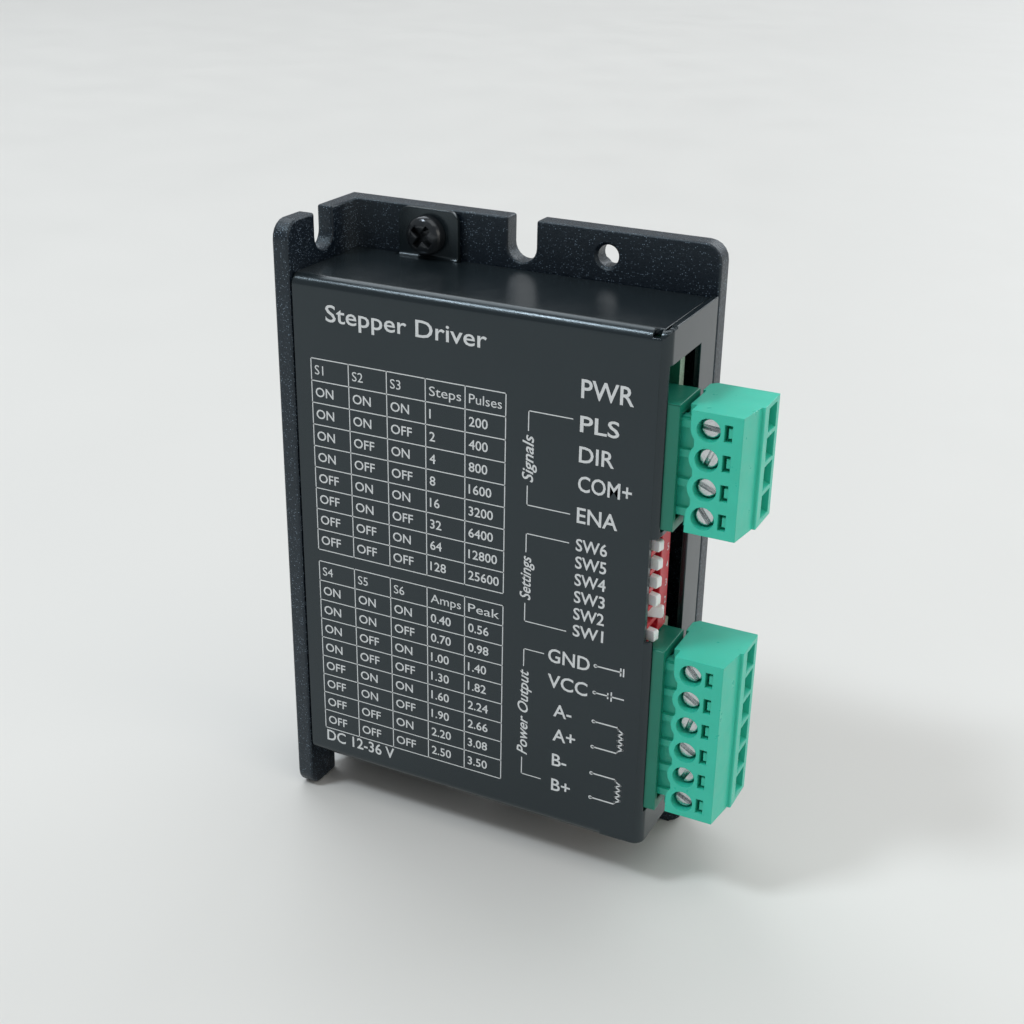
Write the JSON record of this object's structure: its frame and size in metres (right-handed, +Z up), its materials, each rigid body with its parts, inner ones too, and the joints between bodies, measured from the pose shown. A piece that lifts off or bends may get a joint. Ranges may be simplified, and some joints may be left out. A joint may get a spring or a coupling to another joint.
{
  "type": "stepper driver module",
  "caption": "Slim metal-cased stepper motor driver with an L-shaped heat sink, folded cover, two pluggable screw terminals and a row of selector levers.",
  "frame": {"origin": "centre of the flat rear mounting face of the heat sink's back plate", "axes": "+Z up as the driver stands, +X to the terminal side, +Y out of the rear mounting face (the print is on the -Y side)"},
  "size_m": [0.0653, 0.02, 0.086],
  "materials": {
    "heat_sink": "black textured powder coat on aluminium",
    "cover": "satin black paint with white print",
    "black_screw": "blackened steel",
    "board": "glass-fibre board with green mask",
    "header": "moulded green plastic",
    "plug": "moulded light green plastic",
    "plated": "zinc-plated steel",
    "tinned": "tinned brass",
    "selector_body": "moulded red plastic",
    "selector_lever": "moulded white plastic",
    "lens": "clear diffused lens",
    "chip": "black moulding compound",
    "thermal_pad": "soft silicone pad",
    "spreader": "milled",
    "capacitor": "drawn can"
  },
  "bodies": {
    "case": {"heat_sink": "heat_sink", "cover": "cover", "cover_screw_top": "black_screw", "cover_screw_bottom": "black_screw", "circuit_board": "board", "board_screw_top_left": "plated", "board_screw_top_right": "plated", "board_screw_bottom_left": "plated", "board_screw_bottom_right": "plated", "driver_chip": "chip", "thermal_pad": "thermal_pad", "heat_spreader": "spreader", "supply_capacitor_1": "capacitor", "supply_capacitor_2": "capacitor", "regulator": "chip", "optocoupler_1": "chip", "optocoupler_2": "chip", "optocoupler_3": "chip", "power_led": "lens", "signal_header": "header", "signal_pin_1": "tinned", "signal_pin_2": "tinned", "signal_pin_3": "tinned", "signal_pin_4": "tinned", "power_header": "header", "power_pin_1": "tinned", "power_pin_2": "tinned", "power_pin_3": "tinned", "power_pin_4": "tinned", "power_pin_5": "tinned", "power_pin_6": "tinned", "selector_body": "selector_body"},
    "signal_plug_block": {"signal_plug": "plug"},
    "power_plug_block": {"power_plug": "plug"},
    "signal_screw_1_turning": {"signal_screw_1": "plated"},
    "signal_clamp_1_rising": {"signal_clamp_1": "plated"},
    "signal_screw_2_turning": {"signal_screw_2": "plated"},
    "signal_clamp_2_rising": {"signal_clamp_2": "plated"},
    "signal_screw_3_turning": {"signal_screw_3": "plated"},
    "signal_clamp_3_rising": {"signal_clamp_3": "plated"},
    "signal_screw_4_turning": {"signal_screw_4": "plated"},
    "signal_clamp_4_rising": {"signal_clamp_4": "plated"},
    "power_screw_1_turning": {"power_screw_1": "plated"},
    "power_clamp_1_rising": {"power_clamp_1": "plated"},
    "power_screw_2_turning": {"power_screw_2": "plated"},
    "power_clamp_2_rising": {"power_clamp_2": "plated"},
    "power_screw_3_turning": {"power_screw_3": "plated"},
    "power_clamp_3_rising": {"power_clamp_3": "plated"},
    "power_screw_4_turning": {"power_screw_4": "plated"},
    "power_clamp_4_rising": {"power_clamp_4": "plated"},
    "power_screw_5_turning": {"power_screw_5": "plated"},
    "power_clamp_5_rising": {"power_clamp_5": "plated"},
    "power_screw_6_turning": {"power_screw_6": "plated"},
    "power_clamp_6_rising": {"power_clamp_6": "plated"},
    "lever_1": {"selector_lever_1": "selector_lever"},
    "lever_2": {"selector_lever_2": "selector_lever"},
    "lever_3": {"selector_lever_3": "selector_lever"},
    "lever_4": {"selector_lever_4": "selector_lever"},
    "lever_5": {"selector_lever_5": "selector_lever"},
    "lever_6": {"selector_lever_6": "selector_lever"}
  },
  "joints": [
    {"name": "signal_plug_pull", "type": "slide", "parent": "case", "child": "signal_plug_block", "axis": [1, 0, 0], "range_m": [0, 0.01]},
    {"name": "power_plug_pull", "type": "slide", "parent": "case", "child": "power_plug_block", "axis": [1, 0, 0], "range_m": [0, 0.01]},
    {"name": "signal_screw_1_turn", "type": "hinge", "parent": "signal_plug_block", "child": "signal_screw_1_turning", "pos_m": [0.0325, -0.0177, 0.02487], "axis": [0, 1, 0], "range_deg": [0, 1080]},
    {"name": "signal_clamp_1_rise", "type": "slide", "parent": "signal_plug_block", "child": "signal_clamp_1_rising", "axis": [0, -1, 0], "range_m": [0, 0.0012]},
    {"name": "signal_screw_2_turn", "type": "hinge", "parent": "signal_plug_block", "child": "signal_screw_2_turning", "pos_m": [0.0325, -0.0177, 0.02106], "axis": [0, 1, 0], "range_deg": [0, 1080]},
    {"name": "signal_clamp_2_rise", "type": "slide", "parent": "signal_plug_block", "child": "signal_clamp_2_rising", "axis": [0, -1, 0], "range_m": [0, 0.0012]},
    {"name": "signal_screw_3_turn", "type": "hinge", "parent": "signal_plug_block", "child": "signal_screw_3_turning", "pos_m": [0.0325, -0.0177, 0.01724], "axis": [0, 1, 0], "range_deg": [0, 1080]},
    {"name": "signal_clamp_3_rise", "type": "slide", "parent": "signal_plug_block", "child": "signal_clamp_3_rising", "axis": [0, -1, 0], "range_m": [0, 0.0012]},
    {"name": "signal_screw_4_turn", "type": "hinge", "parent": "signal_plug_block", "child": "signal_screw_4_turning", "pos_m": [0.0325, -0.0177, 0.01344], "axis": [0, 1, 0], "range_deg": [0, 1080]},
    {"name": "signal_clamp_4_rise", "type": "slide", "parent": "signal_plug_block", "child": "signal_clamp_4_rising", "axis": [0, -1, 0], "range_m": [0, 0.0012]},
    {"name": "power_screw_1_turn", "type": "hinge", "parent": "power_plug_block", "child": "power_screw_1_turning", "pos_m": [0.0325, -0.0177, -0.00847], "axis": [0, 1, 0], "range_deg": [0, 1080]},
    {"name": "power_clamp_1_rise", "type": "slide", "parent": "power_plug_block", "child": "power_clamp_1_rising", "axis": [0, -1, 0], "range_m": [0, 0.0012]},
    {"name": "power_screw_2_turn", "type": "hinge", "parent": "power_plug_block", "child": "power_screw_2_turning", "pos_m": [0.0325, -0.0177, -0.01229], "axis": [0, 1, 0], "range_deg": [0, 1080]},
    {"name": "power_clamp_2_rise", "type": "slide", "parent": "power_plug_block", "child": "power_clamp_2_rising", "axis": [0, -1, 0], "range_m": [0, 0.0012]},
    {"name": "power_screw_3_turn", "type": "hinge", "parent": "power_plug_block", "child": "power_screw_3_turning", "pos_m": [0.0325, -0.0177, -0.0161], "axis": [0, 1, 0], "range_deg": [0, 1080]},
    {"name": "power_clamp_3_rise", "type": "slide", "parent": "power_plug_block", "child": "power_clamp_3_rising", "axis": [0, -1, 0], "range_m": [0, 0.0012]},
    {"name": "power_screw_4_turn", "type": "hinge", "parent": "power_plug_block", "child": "power_screw_4_turning", "pos_m": [0.0325, -0.0177, -0.0199], "axis": [0, 1, 0], "range_deg": [0, 1080]},
    {"name": "power_clamp_4_rise", "type": "slide", "parent": "power_plug_block", "child": "power_clamp_4_rising", "axis": [0, -1, 0], "range_m": [0, 0.0012]},
    {"name": "power_screw_5_turn", "type": "hinge", "parent": "power_plug_block", "child": "power_screw_5_turning", "pos_m": [0.0325, -0.0177, -0.02371], "axis": [0, 1, 0], "range_deg": [0, 1080]},
    {"name": "power_clamp_5_rise", "type": "slide", "parent": "power_plug_block", "child": "power_clamp_5_rising", "axis": [0, -1, 0], "range_m": [0, 0.0012]},
    {"name": "power_screw_6_turn", "type": "hinge", "parent": "power_plug_block", "child": "power_screw_6_turning", "pos_m": [0.0325, -0.0177, -0.02753], "axis": [0, 1, 0], "range_deg": [0, 1080]},
    {"name": "power_clamp_6_rise", "type": "slide", "parent": "power_plug_block", "child": "power_clamp_6_rising", "axis": [0, -1, 0], "range_m": [0, 0.0012]},
    {"name": "lever_1_rock", "type": "hinge", "parent": "case", "child": "lever_1", "pos_m": [0.023, -0.0168, -0.00438], "axis": [0, 0, 1], "range_deg": [0, 28]},
    {"name": "lever_2_rock", "type": "hinge", "parent": "case", "child": "lever_2", "pos_m": [0.023, -0.0168, -0.00184], "axis": [0, 0, 1], "range_deg": [-28, 0]},
    {"name": "lever_3_rock", "type": "hinge", "parent": "case", "child": "lever_3", "pos_m": [0.023, -0.0168, 0.0007], "axis": [0, 0, 1], "range_deg": [0, 28]},
    {"name": "lever_4_rock", "type": "hinge", "parent": "case", "child": "lever_4", "pos_m": [0.023, -0.0168, 0.00324], "axis": [0, 0, 1], "range_deg": [0, 28]},
    {"name": "lever_5_rock", "type": "hinge", "parent": "case", "child": "lever_5", "pos_m": [0.023, -0.0168, 0.00578], "axis": [0, 0, 1], "range_deg": [0, 28]},
    {"name": "lever_6_rock", "type": "hinge", "parent": "case", "child": "lever_6", "pos_m": [0.023, -0.0168, 0.00832], "axis": [0, 0, 1], "range_deg": [0, 28]}
  ],
  "couplings": [
    {"joint": "signal_screw_1_turn", "follows": "signal_clamp_1_rise", "rad_per_m": 15708},
    {"joint": "signal_screw_2_turn", "follows": "signal_clamp_2_rise", "rad_per_m": 15708},
    {"joint": "signal_screw_3_turn", "follows": "signal_clamp_3_rise", "rad_per_m": 15708},
    {"joint": "signal_screw_4_turn", "follows": "signal_clamp_4_rise", "rad_per_m": 15708},
    {"joint": "power_screw_1_turn", "follows": "power_clamp_1_rise", "rad_per_m": 15708},
    {"joint": "power_screw_2_turn", "follows": "power_clamp_2_rise", "rad_per_m": 15708},
    {"joint": "power_screw_3_turn", "follows": "power_clamp_3_rise", "rad_per_m": 15708},
    {"joint": "power_screw_4_turn", "follows": "power_clamp_4_rise", "rad_per_m": 15708},
    {"joint": "power_screw_5_turn", "follows": "power_clamp_5_rise", "rad_per_m": 15708},
    {"joint": "power_screw_6_turn", "follows": "power_clamp_6_rise", "rad_per_m": 15708}
  ]
}
